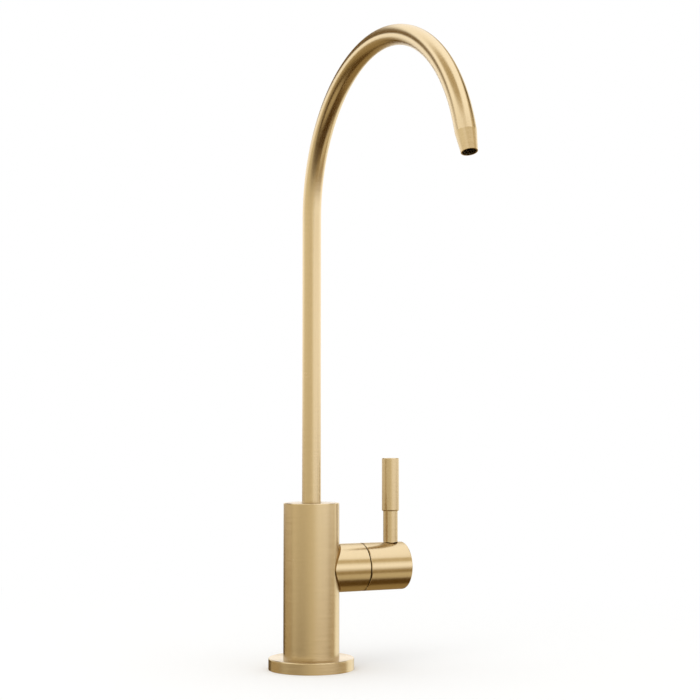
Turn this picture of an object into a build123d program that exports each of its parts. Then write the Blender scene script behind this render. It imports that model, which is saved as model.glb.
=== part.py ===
from build123d import *
from math import atan, cos, degrees, radians, sin
import os

# Drinking water faucet for a kitchen deck: a swivelling gooseneck spout on an upright body,
# with a quarter-turn valve in a barrel on its right side. Millimetres, +Z up, origin on the
# body's axis at deck level. The spout points to the front, -Y, and the barrel to the right, +X.

os.makedirs("parts", exist_ok=True)

# Clearances
turning_gap = 0.05
slip_gap = 0.05
seal_gap = 0.03
seat_gap = 0.05
washer_gap = 0.25
edge_break = 0.3

# Base flange and its gasket
flange_diameter = 42.8
flange_thickness = 5.7
flange_edge_radius = 0.5
flange_rim_width = 3.05
gasket_thickness = 2.0
gasket_inner_gap = 1.2

# Body
body_diameter = 28.0
body_top = 82.6
body_shoulder_width = 4.0
body_spigot_length = 1.5
body_spigot_gap = 0.2
passage_margin = 0.3
inlet_passage_diameter = 5.0
seat_passage_diameter = 4.6
outlet_passage_diameter = 3.6

# Threaded shank and what holds the faucet to the deck
shank_diameter = 11.1
shank_bore = 7.0
shank_top = 22.0
shank_bottom = -55.0
shank_lead_in = 0.6
thread_runout = 2.0
deck_thickness = 25.0
deck_washer_diameter = 32.0
deck_washer_thickness = 3.0
clamp_washer_diameter = 30.0
clamp_washer_thickness = 1.5
lock_washer_diameter = 19.5
lock_washer_thickness = 1.0
lock_washer_tooth_count = 10
lock_washer_tooth_depth = 1.6
lock_washer_notch_width = 1.5
mounting_nut_across_flats = 17.5
mounting_nut_height = 6.0
mounting_nut_corner_cut = 0.15
mounting_nut_corner_chamfer = 0.9

# Connector for a quarter-inch supply tube
tube_socket_diameter = 6.5
tube_stop_length = 5.0
tube_stop_lip = 0.65
connector_length = 28.0
connector_overlap = 9.0
connector_grip_length = 14.0
connector_grip_wall = 2.9
connector_neck_wall = 1.8
connector_port_length = 2.2
connector_rib_count = 18
connector_rib_groove = 0.5
connector_lip_length = 1.0
inlet_washer_thickness = 1.8
collet_wall = 1.55
collet_barb_height = 0.45
collet_barb_gap = 0.15
collet_barb_length = 1.5
collet_flange_lip = 1.6
collet_flange_thickness = 1.5
collet_travel = 1.3
collet_slot_width = 1.0
collet_slot_length = 4.5

# Valve barrel, with stations measured along +X from the body's axis
cavity_diameter = 16.0
seat_station = 1.0
collar_length = 13.65
collar_wall = 3.05
collar_bevel = 0.8
collar_spigot_length = 6.0
collar_spigot_wall = 2.0
seam_gap = 0.5
hub_length = 23.45
hub_end_radius = 0.6

# Ceramic cartridge
cartridge_thread_step = 1.05
cartridge_thread_length = 5.5
sleeve_gap = 1.0
sleeve_wall = 1.4
sleeve_lead = 1.2
chamber_end_wall = 3.4
land_gap = 0.08
land_lead = 1.4
land_tail = 1.95
seat_seal_thickness = 2.6
seat_seal_bore = 6.0
disc_gap = 0.1
disc_thickness = 2.5
disc_port_diameter = 3.2
disc_port_rim = 0.9
disc_slot_depth = 1.0
blade_thickness = 2.6
spindle_flange_lip = 1.55
spindle_flange_thickness = 1.15
spindle_washer_thickness = 0.9
window_width = 6.0
window_length = 2.4
cartridge_hex_step = 0.55
cartridge_hex_length = 3.35
cartridge_neck_length = 2.0
stop_rim_height = 1.2
stop_rim_wall = 1.2
stop_tab_width = 2.0
stop_tab_inset = 0.2
stop_clearance_degrees = 2.5
quarter_turn = 90.0
clip_thickness = 0.8
clip_groove_depth = 0.75
clip_wall = 1.5
clip_mouth = 4.6
clip_rim_gap = 0.25
spline_length = 8.2
spline_count = 20
spline_depth = 0.35
cartridge_seal_groove_depth = 1.52
cartridge_seal_groove_width = 1.8
spindle_seal_groove_depth = 1.2
spindle_seal_groove_width = 1.5
spindle_seal_offsets = (2.4, 5.9)

# Handle
hub_recess_gap = 0.9
hub_recess_end_gap = 1.8
set_screw_diameter = 4.0
set_screw_length = 6.0
set_screw_hex = 2.0
set_screw_hex_depth = 2.0
set_screw_offset = 4.5
lever_inset = 6.5
lever_length = 42.9
lever_stem_diameter = 7.5
lever_shoulder_width = 1.25
lever_hole_floor_wall = 1.0
lever_foot_gap = 0.3
grip_length = 27.1
grip_step = 0.65
grip_spigot_step = 0.75
grip_top_thickness = 4.6
grip_lower_radius = 0.6
grip_top_chamfer = 0.2

# Spout
tube_diameter = 9.5
tube_wall = 1.0
riser_height = 143.0
rise_radius = 75.5
fall_radius = 76.5
fall_angle = 72.4
tip_run_length = 3.3
nozzle_length = 9.4
nozzle_taper = 1.1
nozzle_wall = 0.45
nozzle_spigot_length = 3.0
nozzle_spigot_wall = 0.9
insert_length = 3.5
insert_recess = 2.1
insert_rim = 0.55
insert_hole_diameter = 1.4
insert_hole_count = 6

# Spout foot
socket_depth = 22.6
socket_floor_wall = 2.5
swivel_step = 0.25
swivel_wall = 0.95
swivel_length = 13.0
swivel_spigot_length = 10.0
spout_washer_thickness = 0.9
spout_washer_width = 1.5
spout_seal_groove_depth = 1.4
spout_seal_groove_width = 1.8
spout_seal_offsets = (1.65, 5.25)
snap_ring_offset = 9.45
snap_ring_groove_width = 1.4
snap_ring_thickness = 1.1
snap_ring_inner_groove_depth = 0.9
snap_ring_outer_groove_depth = 0.85
snap_ring_radial_gap = 0.2
snap_ring_mouth = 3.0

# Worked-out radii of the base, the shank and the connector
body_radius = body_diameter / 2
body_spigot_radius = body_radius - body_shoulder_width
shank_radius = shank_diameter / 2
thread_hole_radius = shank_radius + slip_gap
washer_hole_radius = shank_radius + washer_gap
gasket_outer_radius = flange_diameter / 2 - flange_rim_width - slip_gap
gasket_inner_radius = washer_hole_radius + gasket_inner_gap
connector_grip_radius = thread_hole_radius + connector_grip_wall
tube_socket_radius = tube_socket_diameter / 2
connector_port_radius = tube_socket_radius - tube_stop_lip
collet_sleeve_radius = tube_socket_radius + collet_wall
collet_flange_radius = collet_sleeve_radius + collet_flange_lip
collet_barb_radius = collet_sleeve_radius + collet_barb_height
collet_chamber_radius = collet_barb_radius + collet_barb_gap
connector_neck_radius = collet_chamber_radius + connector_neck_wall

# Worked-out radii of the valve, from the cavity inwards and then outwards
cavity_radius = cavity_diameter / 2
sleeve_radius = cavity_radius - sleeve_gap
chamber_radius = sleeve_radius - sleeve_wall
disc_radius = chamber_radius - disc_gap
disc_port_offset = disc_radius - disc_port_rim - disc_port_diameter / 2
spindle_radius = disc_radius - spindle_flange_lip
spindle_bore_radius = spindle_radius + turning_gap
clip_inner = spindle_radius - clip_groove_depth + slip_gap
clip_outer = clip_inner + clip_wall
rim_inner = clip_outer + clip_rim_gap
rim_outer = rim_inner + stop_rim_wall
land_radius = cavity_radius - land_gap
collar_spigot_radius = cavity_radius + collar_spigot_wall
cartridge_thread_radius = cavity_radius + cartridge_thread_step
barrel_radius = cartridge_thread_radius + slip_gap + collar_wall
hex_apothem = cartridge_thread_radius - cartridge_hex_step
hex_corner_radius = hex_apothem / cos(radians(30.0))
hub_recess_radius = hex_corner_radius + hub_recess_gap

# Worked-out radii of the spout
tube_radius = tube_diameter / 2
tube_bore_radius = tube_radius - tube_wall
swivel_radius = tube_radius + swivel_step
swivel_bore_radius = tube_bore_radius - slip_gap - swivel_wall
socket_radius = swivel_radius + turning_gap

# Worked-out stations along the barrel
collar_face = body_radius + collar_length
hub_face = collar_face + seam_gap
hub_end = hub_face + hub_length
collar_spigot_station = body_radius - collar_spigot_length
sleeve_station = seat_station + sleeve_lead
disc_station = seat_station + seat_seal_thickness
thread_start = collar_face - cartridge_thread_length
cartridge_seal_station = thread_start - land_tail - cartridge_seal_groove_width
land_station = cartridge_seal_station - land_lead
chamber_end = land_station - chamber_end_wall
spindle_seal_stations = [chamber_end + offset for offset in spindle_seal_offsets]
hex_end = collar_face + cartridge_hex_length
neck_end = hex_end + cartridge_neck_length
spline_start = neck_end + stop_rim_height + hub_recess_end_gap
set_screw_station = spline_start + set_screw_offset
lever_station = hub_end - lever_inset

# Worked-out heights
flange_recess_depth = body_spigot_length + body_spigot_gap
socket_floor = body_top - socket_depth
valve_height = socket_floor - socket_floor_wall - cavity_radius
lever_hole_floor = valve_height + spindle_radius + slip_gap + lever_hole_floor_wall
lever_shoulder = valve_height + barrel_radius + seat_gap
lever_top = lever_shoulder + lever_length
grip_bottom = lever_top - grip_length
swivel_start = socket_floor + spout_washer_thickness + seat_gap
spout_seal_heights = [swivel_start + offset for offset in spout_seal_offsets]
snap_ring_height = swivel_start + snap_ring_offset
tube_foot = swivel_start + swivel_length
riser_top = body_top + riser_height

# The passages are drilled from the thread hole and from the socket, so they stay inside them
inlet_passage_offset = thread_hole_radius - inlet_passage_diameter / 2 - passage_margin
outlet_passage_offset = socket_radius - outlet_passage_diameter / 2 - passage_margin

# Planes and axes: local x runs along the barrel and local y away from its axis
barrel_profile = Plane(origin=(0, 0, valve_height), x_dir=(1, 0, 0), z_dir=(0, -1, 0))
barrel_section = Plane(origin=(0, 0, valve_height), x_dir=(0, 1, 0), z_dir=(1, 0, 0))
barrel_axis = Axis((0, 0, valve_height), (1, 0, 0))
spout_plane = Plane(origin=(0, 0, 0), x_dir=(0, -1, 0), z_dir=(-1, 0, 0))


# Base flange: a flat disc with a gasket recess below and a locating recess for the body on top
with BuildPart() as base_flange:
    with BuildSketch():
        Circle(flange_diameter / 2)
    extrude(amount=flange_thickness)
    fillet(base_flange.edges().sort_by(Axis.Z)[-1], flange_edge_radius)
    with BuildSketch():
        Circle(gasket_outer_radius + slip_gap)
    extrude(amount=gasket_thickness, mode=Mode.SUBTRACT)
    with BuildSketch(Plane.XY.offset(flange_thickness)):
        Circle(body_spigot_radius + slip_gap)
    extrude(amount=-flange_recess_depth, mode=Mode.SUBTRACT)
    with BuildSketch():
        Circle(washer_hole_radius)
    extrude(amount=flange_thickness, mode=Mode.SUBTRACT)
base_flange.part.label = "base_flange"
export_step(base_flange.part, "parts/base_flange.step")


# Base gasket: flat rubber ring, level with the flange's rim
with BuildPart() as base_gasket:
    with BuildSketch():
        Circle(gasket_outer_radius)
        Circle(gasket_inner_radius, mode=Mode.SUBTRACT)
    extrude(amount=gasket_thickness)
base_gasket.part.label = "base_gasket"
export_step(base_gasket.part, "parts/base_gasket.step")


# Body: a solid bar with the shank's thread below, the valve cavity in its side, the spout's
# socket in its top and the drilled water passages between them
with BuildPart() as faucet_body:
    with BuildSketch(Plane.XY.offset(flange_thickness)):
        Circle(body_radius)
    extrude(amount=body_top - flange_thickness)
    chamfer(faucet_body.edges().group_by(Axis.Z)[-1], edge_break)
    with BuildSketch(Plane.XY.offset(flange_thickness)):
        Circle(body_spigot_radius)
    extrude(amount=-body_spigot_length)
    # thread for the shank
    with BuildSketch(Plane.XY.offset(flange_thickness - body_spigot_length)):
        Circle(thread_hole_radius)
    extrude(
        amount=shank_top + thread_runout - flange_thickness + body_spigot_length,
        mode=Mode.SUBTRACT,
    )
    # inlet passage: up beside the axis, then across to the valve seat
    with BuildSketch(Plane.XY.offset(shank_top)):
        with Locations((-inlet_passage_offset, 0)):
            Circle(inlet_passage_diameter / 2)
    extrude(
        amount=valve_height + seat_passage_diameter / 2 + passage_margin - shank_top,
        mode=Mode.SUBTRACT,
    )
    with BuildSketch(barrel_section.offset(-inlet_passage_offset)):
        Circle(seat_passage_diameter / 2)
    extrude(amount=inlet_passage_offset + seat_station, mode=Mode.SUBTRACT)
    # valve cavity and the wider bore for the collar's spigot
    with BuildSketch(barrel_section.offset(seat_station)):
        Circle(cavity_radius)
    extrude(amount=body_radius, mode=Mode.SUBTRACT)
    with BuildSketch(barrel_section.offset(collar_spigot_station - seat_gap)):
        Circle(collar_spigot_radius + slip_gap)
    extrude(amount=body_radius, mode=Mode.SUBTRACT)
    # outlet passage from the cavity up into the spout's socket
    with BuildSketch(Plane.XY.offset(valve_height)):
        with Locations((outlet_passage_offset, 0)):
            Circle(outlet_passage_diameter / 2)
    extrude(amount=socket_floor - valve_height, mode=Mode.SUBTRACT)
    # socket, and the groove for the snap ring in its wall
    with BuildSketch(Plane.XY.offset(socket_floor)):
        Circle(socket_radius)
    extrude(amount=body_top - socket_floor, mode=Mode.SUBTRACT)
    with BuildSketch(Plane.XY.offset(snap_ring_height)):
        Circle(socket_radius + snap_ring_outer_groove_depth)
    extrude(amount=snap_ring_groove_width, mode=Mode.SUBTRACT)
faucet_body.part.label = "faucet_body"
export_step(faucet_body.part, "parts/faucet_body.step")


# Threaded shank: hollow nipple, drawn at the outside size of its thread
with BuildPart() as threaded_shank:
    with BuildSketch(Plane.XY.offset(shank_bottom)):
        Circle(shank_radius)
    extrude(amount=shank_top - shank_bottom)
    chamfer(threaded_shank.edges().group_by(Axis.Z)[0], shank_lead_in)
    chamfer(threaded_shank.edges().group_by(Axis.Z)[-1], shank_lead_in)
    with BuildSketch(Plane.XY.offset(shank_bottom)):
        Circle(shank_bore / 2)
    extrude(amount=shank_top - shank_bottom, mode=Mode.SUBTRACT)
threaded_shank.part.label = "threaded_shank"
export_step(threaded_shank.part, "parts/threaded_shank.step")


# Rubber washer that presses on the deck from below
deck_washer_bottom = -deck_thickness - deck_washer_thickness
with BuildPart() as deck_washer:
    with BuildSketch(Plane.XY.offset(deck_washer_bottom)):
        Circle(deck_washer_diameter / 2)
        Circle(washer_hole_radius, mode=Mode.SUBTRACT)
    extrude(amount=deck_washer_thickness)
deck_washer.part.label = "deck_washer"
export_step(deck_washer.part, "parts/deck_washer.step")


# Flat steel washer
clamp_washer_bottom = deck_washer_bottom - clamp_washer_thickness
with BuildPart() as clamp_washer:
    with BuildSketch(Plane.XY.offset(clamp_washer_bottom)):
        Circle(clamp_washer_diameter / 2)
        Circle(washer_hole_radius, mode=Mode.SUBTRACT)
    extrude(amount=clamp_washer_thickness)
    chamfer(
        clamp_washer.edges().filter_by(GeomType.CIRCLE).sort_by(SortBy.RADIUS)[-2:],
        edge_break,
    )
clamp_washer.part.label = "clamp_washer"
export_step(clamp_washer.part, "parts/clamp_washer.step")


# Lock washer with teeth round its bore: the notches between them open into the bore
lock_washer_bottom = clamp_washer_bottom - lock_washer_thickness
notch_outer_radius = washer_hole_radius + lock_washer_tooth_depth
with BuildPart() as lock_washer:
    with BuildSketch(Plane.XY.offset(lock_washer_bottom)):
        Circle(lock_washer_diameter / 2)
        Circle(washer_hole_radius, mode=Mode.SUBTRACT)
        with PolarLocations(notch_outer_radius, lock_washer_tooth_count):
            Rectangle(
                2 * lock_washer_tooth_depth,
                lock_washer_notch_width,
                align=(Align.MAX, Align.CENTER),
                mode=Mode.SUBTRACT,
            )
    extrude(amount=lock_washer_thickness)
lock_washer.part.label = "lock_washer"
export_step(lock_washer.part, "parts/lock_washer.step")


# Mounting nut: a turned and chamfered blank, milled to a hexagon, so its corners are turned off
mounting_nut_bottom = lock_washer_bottom - mounting_nut_height
nut_corner_radius = mounting_nut_across_flats / 2 / cos(radians(30.0))
with BuildPart() as mounting_nut:
    with BuildSketch(Plane.XY.offset(mounting_nut_bottom)):
        Circle(nut_corner_radius - mounting_nut_corner_cut)
    extrude(amount=mounting_nut_height)
    chamfer(mounting_nut.edges().filter_by(GeomType.CIRCLE), mounting_nut_corner_chamfer)
    with BuildSketch(Plane.XY.offset(mounting_nut_bottom)):
        RegularPolygon(mounting_nut_across_flats / 2, 6, major_radius=False)
    extrude(amount=mounting_nut_height, mode=Mode.INTERSECT)
    with BuildSketch(Plane.XY.offset(mounting_nut_bottom)):
        Circle(thread_hole_radius)
    extrude(amount=mounting_nut_height, mode=Mode.SUBTRACT)
mounting_nut.part.label = "mounting_nut"
export_step(mounting_nut.part, "parts/mounting_nut.step")


# Tube connector: ribbed grip above, plain neck below, stepped bore with a lip at its mouth
connector_top = shank_bottom + connector_overlap
connector_bottom = connector_top - connector_length
port_top = shank_bottom - inlet_washer_thickness - seat_gap
socket_top = port_top - connector_port_length
o_ring_chamber_top = socket_top - tube_stop_length
with BuildPart() as inlet_connector:
    with BuildSketch(Plane.XY.offset(connector_bottom)):
        Circle(connector_neck_radius)
    extrude(amount=connector_length)
    with BuildSketch(Plane.XY.offset(connector_top - connector_grip_length)):
        Circle(connector_grip_radius)
        with PolarLocations(connector_grip_radius, connector_rib_count):
            Circle(connector_rib_groove, mode=Mode.SUBTRACT)
    extrude(amount=connector_grip_length)
    with BuildSketch(Plane.XY.offset(port_top)):
        Circle(thread_hole_radius)
    extrude(amount=connector_top - port_top, mode=Mode.SUBTRACT)
    with BuildSketch(Plane.XY.offset(socket_top)):
        Circle(connector_port_radius)
    extrude(amount=connector_port_length, mode=Mode.SUBTRACT)
    with BuildSketch(Plane.XY.offset(o_ring_chamber_top)):
        Circle(tube_socket_radius)
    extrude(amount=tube_stop_length, mode=Mode.SUBTRACT)
    with BuildSketch(Plane.XY.offset(connector_bottom + connector_lip_length)):
        Circle(collet_chamber_radius)
    extrude(
        amount=o_ring_chamber_top - connector_bottom - connector_lip_length,
        mode=Mode.SUBTRACT,
    )
    with BuildSketch(Plane.XY.offset(connector_bottom)):
        Circle(collet_sleeve_radius + 2 * turning_gap)
    extrude(amount=connector_lip_length, mode=Mode.SUBTRACT)
inlet_connector.part.label = "inlet_connector"
export_step(inlet_connector.part, "parts/inlet_connector.step")


# Flat seal between the shank's end and the connector
with BuildPart() as inlet_washer:
    with BuildSketch(Plane.XY.offset(shank_bottom - inlet_washer_thickness)):
        Circle(shank_radius - slip_gap)
        Circle(shank_bore / 2, mode=Mode.SUBTRACT)
    extrude(amount=inlet_washer_thickness)
inlet_washer.part.label = "inlet_washer"
export_step(inlet_washer.part, "parts/inlet_washer.step")


# Seal on the supply tube
inlet_seal_section = (collet_chamber_radius - tube_socket_radius) / 2 - seal_gap
with BuildPart() as inlet_o_ring:
    with BuildSketch(Plane.XZ):
        with Locations(
            (
                (collet_chamber_radius + tube_socket_radius) / 2,
                o_ring_chamber_top - inlet_seal_section - seal_gap,
            )
        ):
            Circle(inlet_seal_section)
    revolve(axis=Axis.Z)
inlet_o_ring.part.label = "inlet_o_ring"
export_step(inlet_o_ring.part, "parts/inlet_o_ring.step")


# Collet: split sleeve with barbs behind the connector's lip and a flange to press on
collet_flange_top = connector_bottom - collet_travel - seat_gap
collet_top = connector_bottom + connector_lip_length + seat_gap + collet_barb_length
with BuildPart() as inlet_collet:
    with BuildSketch(Plane.XY.offset(collet_flange_top - collet_flange_thickness)):
        Circle(collet_flange_radius)
    extrude(amount=collet_flange_thickness)
    with BuildSketch(Plane.XY.offset(collet_flange_top)):
        Circle(collet_sleeve_radius)
    extrude(amount=collet_top - collet_flange_top)
    with BuildSketch(Plane.XY.offset(collet_top - collet_barb_length)):
        Circle(collet_barb_radius)
    extrude(amount=collet_barb_length)
    chamfer(inlet_collet.edges().group_by(Axis.Z)[-1], edge_break)
    with BuildSketch(Plane.XY.offset(collet_flange_top - collet_flange_thickness)):
        Circle(tube_socket_radius)
    extrude(amount=connector_length, mode=Mode.SUBTRACT)
    with BuildSketch(Plane.XY.offset(collet_top - collet_slot_length)):
        Rectangle(collet_slot_width, 2 * collet_barb_radius)
        Rectangle(2 * collet_barb_radius, collet_slot_width)
    extrude(amount=collet_slot_length, mode=Mode.SUBTRACT)
inlet_collet.part.label = "inlet_collet"
export_step(inlet_collet.part, "parts/inlet_collet.step")


# Valve collar: sleeve cut to the body's curve and bevelled there, on a spigot in the side bore
with BuildPart() as valve_collar:
    with BuildSketch(barrel_section):
        Circle(barrel_radius)
    extrude(amount=collar_face)
    with BuildSketch():
        Circle(body_radius + slip_gap)
    extrude(amount=body_top, mode=Mode.SUBTRACT)
    saddle_edges = valve_collar.edges().filter_by(GeomType.CIRCLE, reverse=True)
    chamfer(saddle_edges, collar_bevel)
    chamfer(valve_collar.edges().sort_by(Axis.X)[-1], edge_break)
    with BuildSketch(barrel_section.offset(collar_spigot_station)):
        Circle(collar_spigot_radius)
    extrude(amount=collar_face - edge_break - collar_spigot_station)
    with BuildSketch(barrel_section):
        Circle(cavity_radius)
    extrude(amount=collar_face, mode=Mode.SUBTRACT)
    with BuildSketch(barrel_section.offset(thread_start)):
        Circle(cartridge_thread_radius + slip_gap)
    extrude(amount=cartridge_thread_length, mode=Mode.SUBTRACT)
valve_collar.part.label = "valve_collar"
export_step(valve_collar.part, "parts/valve_collar.step")


# Seat seal, pressed between the body's seat and the fixed disc
with BuildPart() as seat_seal:
    with BuildSketch(barrel_section.offset(seat_station)):
        Circle(disc_radius)
        Circle(seat_seal_bore / 2, mode=Mode.SUBTRACT)
    extrude(amount=seat_seal_thickness)
seat_seal.part.label = "seat_seal"
export_step(seat_seal.part, "parts/seat_seal.step")


# Fixed ceramic disc: its ports lie above and below the barrel's axis
with BuildPart() as fixed_disc:
    with BuildSketch(barrel_section.offset(disc_station)):
        Circle(disc_radius)
        with Locations((0, disc_port_offset), (0, -disc_port_offset)):
            Circle(disc_port_diameter / 2, mode=Mode.SUBTRACT)
    extrude(amount=disc_thickness)
fixed_disc.part.label = "fixed_disc"
export_step(fixed_disc.part, "parts/fixed_disc.step")


# Moving ceramic disc: its ports lie a quarter turn away, so the valve is shut at rest
moving_disc_station = disc_station + disc_thickness + seal_gap
moving_disc_end = moving_disc_station + disc_thickness
with BuildPart() as moving_disc:
    with BuildSketch(barrel_section.offset(moving_disc_station)):
        Circle(disc_radius)
        with Locations((disc_port_offset, 0), (-disc_port_offset, 0)):
            Circle(disc_port_diameter / 2, mode=Mode.SUBTRACT)
    extrude(amount=disc_thickness)
    with BuildSketch(barrel_section.offset(moving_disc_end)):
        Rectangle(blade_thickness + 2 * slip_gap, 2 * disc_radius)
    extrude(amount=-disc_slot_depth, mode=Mode.SUBTRACT)
moving_disc.part.label = "moving_disc"
export_step(moving_disc.part, "parts/moving_disc.step")


# Spindle: blade in the disc's slot, flange, shaft with seal and clip grooves, splined head
spindle_washer_station = chamber_end - spindle_washer_thickness - seat_gap
spindle_flange_end = spindle_washer_station - seat_gap
spindle_flange_start = spindle_flange_end - spindle_flange_thickness
blade_start = moving_disc_end - disc_slot_depth + seat_gap
clip_groove_start = neck_end + seat_gap
spindle_end = spline_start + spline_length
with BuildPart() as cartridge_spindle:
    with BuildSketch(barrel_section.offset(blade_start)):
        Circle(disc_radius)
        Rectangle(blade_thickness, 2 * disc_radius, mode=Mode.INTERSECT)
    extrude(amount=spindle_flange_start - blade_start)
    with BuildSketch(barrel_section.offset(spindle_flange_start)):
        Circle(disc_radius)
    extrude(amount=spindle_flange_thickness)
    with BuildSketch(barrel_section.offset(spindle_flange_end)):
        Circle(spindle_radius)
    extrude(amount=spindle_end - spindle_flange_end)
    chamfer(cartridge_spindle.edges().group_by(Axis.X)[-1], edge_break)
    for station in spindle_seal_stations:
        with BuildSketch(barrel_section.offset(station)):
            Circle(spindle_radius)
            Circle(spindle_radius - spindle_seal_groove_depth, mode=Mode.SUBTRACT)
        extrude(amount=spindle_seal_groove_width, mode=Mode.SUBTRACT)
    with BuildSketch(barrel_section.offset(clip_groove_start)):
        Circle(spindle_radius)
        Circle(spindle_radius - clip_groove_depth, mode=Mode.SUBTRACT)
    extrude(amount=clip_thickness + 2 * seat_gap, mode=Mode.SUBTRACT)
    with BuildSketch(barrel_section.offset(spline_start)):
        with PolarLocations(spindle_radius, spline_count):
            Circle(spline_depth)
    extrude(amount=spline_length, mode=Mode.SUBTRACT)
cartridge_spindle.part.label = "cartridge_spindle"
export_step(cartridge_spindle.part, "parts/cartridge_spindle.step")


# Cartridge body: windowed sleeve round the discs, sealed land, thread, hexagon and neck with
# a raised rim that stops the clip's tab at both ends of the quarter turn. Angles go round the
# barrel's axis from +Y towards +Z, and the tab rests at the top and turns to the front.
tab_half_angle = degrees(atan(stop_tab_width / 2 / rim_inner)) + stop_clearance_degrees
rest_angle = 90.0
rim_start_angle = rest_angle + quarter_turn + tab_half_angle
rim_arc = 360.0 - quarter_turn - 2 * tab_half_angle
rim_profile = Plane(
    origin=(0, 0, valve_height),
    x_dir=(1, 0, 0),
    z_dir=(0, -sin(radians(rim_start_angle)), cos(radians(rim_start_angle))),
)
with BuildPart() as cartridge_body:
    with BuildSketch(barrel_section.offset(sleeve_station)):
        Circle(sleeve_radius)
    extrude(amount=land_station - sleeve_station)
    with BuildSketch(barrel_section.offset(land_station)):
        Circle(land_radius)
    extrude(amount=thread_start + seat_gap - land_station)
    with BuildSketch(barrel_section.offset(thread_start + seat_gap)):
        Circle(cartridge_thread_radius)
    extrude(amount=collar_face - thread_start - seat_gap)
    with BuildSketch(barrel_section.offset(collar_face)):
        RegularPolygon(hex_apothem, 6, major_radius=False)
    extrude(amount=cartridge_hex_length)
    with BuildSketch(barrel_section.offset(hex_end)):
        Circle(rim_outer)
    extrude(amount=cartridge_neck_length)
    with BuildSketch(barrel_section.offset(cartridge_seal_station)):
        Circle(land_radius)
        Circle(land_radius - cartridge_seal_groove_depth, mode=Mode.SUBTRACT)
    extrude(amount=cartridge_seal_groove_width, mode=Mode.SUBTRACT)
    # chamber for the discs, bore for the spindle, side windows
    with BuildSketch(barrel_section.offset(sleeve_station)):
        Circle(chamber_radius)
    extrude(amount=chamber_end - sleeve_station, mode=Mode.SUBTRACT)
    with BuildSketch(barrel_section.offset(chamber_end)):
        Circle(spindle_bore_radius)
    extrude(amount=neck_end - chamber_end, mode=Mode.SUBTRACT)
    with BuildSketch(barrel_section.offset(moving_disc_end)):
        Rectangle(2 * sleeve_radius, window_width)
    extrude(amount=window_length, mode=Mode.SUBTRACT)
    with BuildSketch(rim_profile):
        with Locations((neck_end, rim_inner)):
            Rectangle(stop_rim_height, stop_rim_wall, align=(Align.MIN, Align.MIN))
    revolve(axis=barrel_axis, revolution_arc=rim_arc)
cartridge_body.part.label = "cartridge_body"
export_step(cartridge_body.part, "parts/cartridge_body.step")


# Seal between the cartridge's land and the cavity wall
cartridge_seal_floor = land_radius - cartridge_seal_groove_depth
cartridge_seal_section = (cavity_radius - cartridge_seal_floor) / 2 - seal_gap
with BuildPart() as cartridge_o_ring:
    with BuildSketch(barrel_profile):
        with Locations(
            (
                cartridge_seal_station + cartridge_seal_groove_width / 2,
                (cavity_radius + cartridge_seal_floor) / 2,
            )
        ):
            Circle(cartridge_seal_section)
    revolve(axis=barrel_axis)
cartridge_o_ring.part.label = "cartridge_o_ring"
export_step(cartridge_o_ring.part, "parts/cartridge_o_ring.step")


# Two seals on the spindle
spindle_seal_floor = spindle_radius - spindle_seal_groove_depth
spindle_seal_section = (spindle_bore_radius - spindle_seal_floor) / 2 - seal_gap
with BuildPart() as spindle_o_rings:
    with BuildSketch(barrel_profile):
        for station in spindle_seal_stations:
            with Locations(
                (
                    station + spindle_seal_groove_width / 2,
                    (spindle_bore_radius + spindle_seal_floor) / 2,
                )
            ):
                Circle(spindle_seal_section)
    revolve(axis=barrel_axis)
spindle_o_rings.part.label = "spindle_o_rings"
export_step(spindle_o_rings.part, "parts/spindle_o_rings.step")


# Slippery washer between the spindle's flange and the end of the chamber
with BuildPart() as spindle_washer:
    with BuildSketch(barrel_section.offset(spindle_washer_station)):
        Circle(disc_radius)
        Circle(spindle_bore_radius + slip_gap, mode=Mode.SUBTRACT)
    extrude(amount=spindle_washer_thickness)
spindle_washer.part.label = "spindle_washer"
export_step(spindle_washer.part, "parts/spindle_washer.step")


# Stop clip: open ring in the spindle's groove, with the tab that meets the neck's rim
tab_reach = rim_outer - stop_tab_inset
with BuildPart() as stop_clip:
    with BuildSketch(barrel_section.offset(clip_groove_start + seat_gap)):
        Circle(clip_outer)
        Rectangle(stop_tab_width, tab_reach, align=(Align.CENTER, Align.MIN))
        Circle(clip_inner, mode=Mode.SUBTRACT)
        Rectangle(
            clip_mouth,
            clip_outer,
            align=(Align.CENTER, Align.MAX),
            mode=Mode.SUBTRACT,
        )
    extrude(amount=clip_thickness)
stop_clip.part.label = "stop_clip"
export_step(stop_clip.part, "parts/stop_clip.step")


# Handle hub: recess over the cartridge's head, splined socket, lever hole and set screw hole
lever_foot_radius = lever_stem_diameter / 2 - lever_shoulder_width
with BuildPart() as handle_hub:
    with BuildSketch(barrel_section.offset(hub_face)):
        Circle(barrel_radius)
    extrude(amount=hub_end - hub_face)
    fillet(handle_hub.edges().group_by(Axis.X)[-1], hub_end_radius)
    chamfer(handle_hub.edges().group_by(Axis.X)[0], edge_break)
    with BuildSketch(barrel_section.offset(hub_face)):
        Circle(hub_recess_radius)
    extrude(amount=spline_start - hub_face, mode=Mode.SUBTRACT)
    with BuildSketch(barrel_section.offset(spline_start)):
        Circle(spindle_radius + slip_gap)
    extrude(amount=spline_length + 2 * seat_gap, mode=Mode.SUBTRACT)
    with BuildSketch(Plane.XY.offset(lever_hole_floor)):
        with Locations((lever_station, 0)):
            Circle(lever_foot_radius + slip_gap)
    extrude(amount=barrel_radius, mode=Mode.SUBTRACT)
    with BuildSketch(Plane.XY.offset(valve_height)):
        with Locations((set_screw_station, 0)):
            Circle(set_screw_diameter / 2 + slip_gap)
    extrude(amount=-barrel_radius, mode=Mode.SUBTRACT)
handle_hub.part.label = "handle_hub"
export_step(handle_hub.part, "parts/handle_hub.step")


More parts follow.
